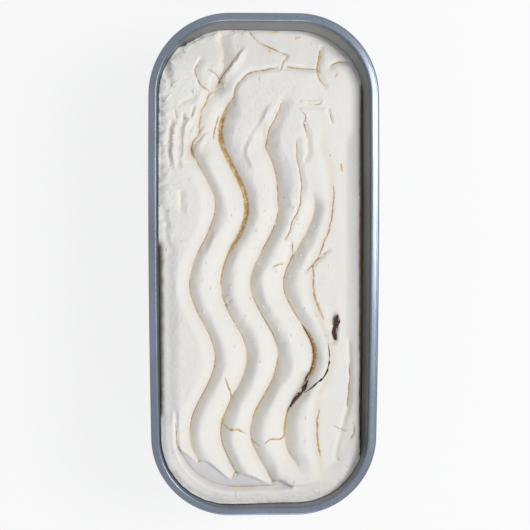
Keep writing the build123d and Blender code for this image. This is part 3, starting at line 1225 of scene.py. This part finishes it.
@dataclass
class Pan:
    """The steel pan: one wall profile carried round its rounded outline, with a flat base."""

    length: float = 360.0
    width: float = 165.0
    height: float = 120.0
    corner: float = 58.0
    side_bow: float = 1.9
    steel: float = 0.8
    flange: float = 6.2
    flange_drop: float = 4.5
    roll: float = 1.8
    inner_roll: float = 1.5
    crown: float = 1.7
    neck_depth: float = 13.0
    neck_draft: float = 0.4
    shoulder_step: float = 2.6
    shoulder_drop: float = 2.4
    wall_draft: float = 4.6
    base_radius: float = 20.0
    bend: float = 1.2  # radius of the shoulder's inner bends
    side_steps: int = 48
    corner_steps: int = 28
    end_steps: int = 12

    def arc(self, x: float, z: float, radius: float, start: float, end: float, steps: int) -> list:
        """Points on an arc in the profile's plane, from start to end in degrees."""
        turns = (radians(start + (end - start) * k / steps) for k in range(steps + 1))
        return [(x + radius * cos(a), z + radius * sin(a)) for a in turns]

    def profile(self) -> list[tuple[float, float]]:
        """The wall's section as inset and height, from the inner base round to the outer base."""
        neck_z = self.height - self.neck_depth
        wall_z = neck_z - self.shoulder_drop
        neck = self.flange + self.neck_draft
        wall = neck + self.shoulder_step
        base = wall + self.wall_draft
        t = self.steel
        inner = self.arc(base + self.base_radius, t + self.base_radius, self.base_radius, 270, 180, 12)
        inner += self.arc(wall + self.bend, wall_z - self.bend, self.bend, 180, 135, 4)
        inner += self.arc(neck - self.bend, neck_z + 1.0, self.bend, -45, 0, 4)
        top = self.height - self.inner_roll
        roll_in = self.arc(self.flange - self.inner_roll, top, self.inner_roll, 0, 75, 8)
        outer_top = self.height - self.crown
        roll_out = self.arc(self.roll, outer_top - self.roll, self.roll, 75, 180, 8)
        lip = [(0.0, self.height - self.flange_drop), (t, self.height - self.flange_drop)]
        under = [(t, outer_top - self.roll), (self.roll, outer_top - t - 0.3)]
        under += [(self.flange - t - 0.6, top - t + 0.6)]
        outside = [(self.flange - t, top - 0.6), (neck - t, neck_z), (wall - t, wall_z)]
        foot = self.arc(base + self.base_radius, t + self.base_radius, self.base_radius + t, 180, 270, 12)
        return [*inner, *roll_in, *roll_out, *lip, *under, *outside, *foot]

    def outline(self) -> list[tuple[float, float, float, float]]:
        """Points of the plan outline with their outward directions, once round."""
        y_end = self.length / 2
        y_corner = y_end - self.corner
        spread = [2 * k / self.side_steps - 1 for k in range(self.side_steps)]
        side = [
            (self.width / 2 - self.side_bow * (y_corner * v / y_end) ** 2, y_corner * v, 1.0, 0.0)
            for v in spread
        ]
        x_corner = side[0][0] - self.corner
        turns = [radians(90 * k / self.corner_steps) for k in range(self.corner_steps)]
        corner = [
            (x_corner + self.corner * cos(a), y_corner + self.corner * sin(a), cos(a), sin(a)) for a in turns
        ]
        end = [(x_corner * (1 - 2 * k / self.end_steps), y_end, 0.0, 1.0) for k in range(self.end_steps)]
        back = [
            (-self.corner * sin(a) - x_corner, y_corner + self.corner * cos(a), -sin(a), cos(a)) for a in turns
        ]
        half = [*side, *corner, *end, *back]
        return half + [(-x, -y, -u, -v) for x, y, u, v in half]

    def build(self, material: Material) -> Object:
        """Builds the pan.

        Args:
            material: Its finish.

        Returns:
            The finished piece.
        """
        section = self.profile()
        around = self.outline()
        limit = CAD_BOX[1][0] / (self.width / 2)
        points = [
            ((x - u * inset) * limit, (y - v * inset) * MM, z * MM)
            for x, y, u, v in around
            for inset, z in section
        ]
        n, m = len(section), len(around)
        faces = [
            (k * n + i, k * n + i + 1, (k + 1) % m * n + i + 1, (k + 1) % m * n + i)
            for k in range(m)
            for i in range(n - 1)
        ]
        faces.append(tuple(k * n for k in range(m)))
        faces.append(tuple(k * n + n - 1 for k in reversed(range(m))))
        mesh = bpy.data.meshes.new("steel_pan")
        mesh.from_pydata(points, [], faces)
        film = mesh.attributes.new("film", "FLOAT", "POINT")
        inner = len(section) - next(k for k, (_, z) in enumerate(reversed(section)) if z > self.height - 1.6)
        for k in range(m):
            for i, (inset, z) in enumerate(section[:inner]):
                if inset > self.flange - 0.3 and z < self.height - self.inner_roll:
                    film.data[k * n + i].value = 1.0
        mesh.shade_smooth()
        mesh.materials.append(material)
        return link_object("steel_pan", mesh)


# --------------------------------------------------------------------------- studio


@dataclass
class Studio:
    """The pale floor, the soft light and the camera straight above."""

    floor_size: float = 6.0
    floor_colour: str = "F4F4F4"
    distance: float = 0.7
    tilt: float = 3.93
    yaw: float = -1.72
    aim: tuple[float, float, float] = (0.55, 2.6, 120.0)
    lens: float = 66.8

    def floor(self) -> None:
        """Makes the floor, which is white to the camera and to mirrors, with the pan's shadow."""
        half = self.floor_size / 2
        mesh = bpy.data.meshes.new("floor")
        corners = [(-half, -half, 0), (half, -half, 0), (half, half, 0), (-half, half, 0)]
        mesh.from_pydata(corners, [], [(0, 1, 2, 3)])
        material = bpy.data.materials.new("white_paper_floor")
        material.use_nodes = True
        tree = material.node_tree
        shader = tree.nodes["Principled BSDF"]
        shader.inputs["Base Color"].default_value = linear(self.floor_colour)
        shader.inputs["Roughness"].default_value = 0.9
        mesh.materials.append(material)
        seen = self.seen(tree)
        glow = add_node(tree, "ShaderNodeEmission", {"Color": WHITE, "Strength": 1.0})
        lit = add_node(tree, "ShaderNodeMixShader", {0: 0.82, 1: shader.outputs[0], 2: glow.outputs[0]})
        out = tree.nodes["Material Output"]
        mixed = add_node(tree, "ShaderNodeMixShader", {0: seen, 1: shader.outputs[0], 2: lit.outputs[0]})
        tree.links.new(mixed.outputs[0], out.inputs["Surface"])
        link_object("floor", mesh)

    def seen(self, tree: NodeTree) -> Field:
        """Is 1 for rays from the camera, from a mirror and through glass, which see the plain white."""
        path = add_node(tree, "ShaderNodeLightPath")
        kinds = ("Is Camera Ray", "Is Glossy Ray", "Is Transmission Ray")
        camera, glossy, clear = (Field(tree, path.outputs[name]) for name in kinds)
        return camera.calc("MAXIMUM", glossy.calc("MAXIMUM", clear))

    def world(self) -> None:
        """Sets the world: a dim even light, white where it is seen or mirrored."""
        world = bpy.data.worlds.new("studio")
        world.use_nodes = True
        bpy.context.scene.world = world
        tree = world.node_tree
        tree.nodes.clear()
        dim = add_node(tree, "ShaderNodeBackground", {"Color": (0.93, 0.96, 1.0, 1.0), "Strength": 0.38})
        white = add_node(tree, "ShaderNodeBackground", {"Color": WHITE, "Strength": 1.0})
        mixed = add_node(
            tree, "ShaderNodeMixShader", {0: self.seen(tree), 1: dim.outputs[0], 2: white.outputs[0]}
        )
        add_node(tree, "ShaderNodeOutputWorld", {"Surface": mixed.outputs[0]})

    def lamp(self, name: str, place: Vector, size: float, power: float, colour: str) -> None:
        """Adds one square soft lamp that faces the pan."""
        light = bpy.data.lights.new(name, "AREA")
        light.shape = "SQUARE"
        light.size = size
        light.energy = power
        light.color = linear(colour)[:3]
        obj = link_object(name, light)
        obj.location = place
        obj.rotation_euler = (Vector((0, 0, 0.1)) - place).to_track_quat("-Z", "Y").to_euler()

    def camera(self) -> None:
        """Sets the camera above the pan, turned a little off the upright."""
        tilt, yaw = radians(self.tilt), radians(self.yaw)
        target = Vector(self.aim) * MM
        away = Vector((sin(yaw) * cos(tilt), sin(tilt), cos(yaw) * cos(tilt)))
        data = bpy.data.cameras.new("camera")
        data.lens = self.lens
        data.sensor_width = 36.0
        data.clip_start = 0.01
        obj = link_object("camera", data)
        obj.location = target + away * self.distance
        right = Vector((0.0, 1.0, 0.0)).cross(away).normalized()
        turned = Matrix((right, away.cross(right), away)).transposed()
        obj.rotation_euler = turned.to_euler()
        bpy.context.scene.camera = obj

    def build(self) -> None:
        """Builds the whole studio."""
        self.floor()
        self.world()
        self.lamp("key", Vector((1.05, 0.24, 1.55)), 0.6, 17.5, "FFFDFA")
        self.lamp("fill", Vector((0.1, -1.7, 0.9)), 0.5, 6.0, "F4F8FF")
        self.camera()
        bpy.context.scene.view_settings.view_transform = "Standard"


def add_piece(piece: Object, node: str) -> None:
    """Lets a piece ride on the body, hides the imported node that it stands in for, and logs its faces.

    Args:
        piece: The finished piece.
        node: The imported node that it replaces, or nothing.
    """
    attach(piece, "root")
    if node:
        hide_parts(node)
    log.info("built %s: %d faces", piece.name, len(piece.data.polygons))


def main() -> None:
    """Builds every piece in order."""
    logging.basicConfig(level=logging.INFO, format="%(message)s")
    steel = BrushedSteel().build()
    cream = FrozenCream().build()
    chocolate = SauceFinish().build()
    caramel = SauceFinish("caramel_sauce", "C6A162", "DFC592", 0.4).build()
    amber = SauceFinish("thin_caramel_syrup", "E6AB62", "EFC68E", 0.3).build()
    # partly painted shade: the light brown of the thin lines along creases and cracks
    syrup_and_shade_finish = SauceFinish("syrup_and_shade", "B49A72", "CDB594", 0.45).build()
    burnt = SauceFinish("burnt_caramel", "6A4A1E", "94702F", 0.3).build()
    add_piece(Pan().build(steel), "pan")
    body = IceCream().build(cream)
    add_piece(body, "ice_cream")
    surface = BVHTree.FromPolygons(
        [v.co[:] for v in body.data.vertices], [p.vertices[:] for p in body.data.polygons]
    )
    for sauce, node, finish, slot in (
        (CHOCOLATE_POOL, "chocolate_pool", chocolate, Slot.CHOCOLATE),
        (CHOCOLATE_RIBBON, "chocolate_ribbon", chocolate, Slot.CHOCOLATE),
        (CHOCOLATE_THREADS, "", chocolate, Slot.CHOCOLATE),
        (CARAMEL_BAND, "", caramel, Slot.CARAMEL),
        (BURNT_CARAMEL, "", burnt, Slot.CARAMEL),
        (CARAMEL_VEINS, "", caramel, Slot.CARAMEL),
        (SHADE_AND_SYRUP_VEINS, "", syrup_and_shade_finish, Slot.CARAMEL),
        (AMBER_SPOTS, "", amber, Slot.CARAMEL),
    ):
        add_piece(sauce.build(surface, finish), node)
    for bits in BITS:
        add_piece(bits.build(body, cream), "")
    Studio().build()


if __name__ == "__main__":
    main()
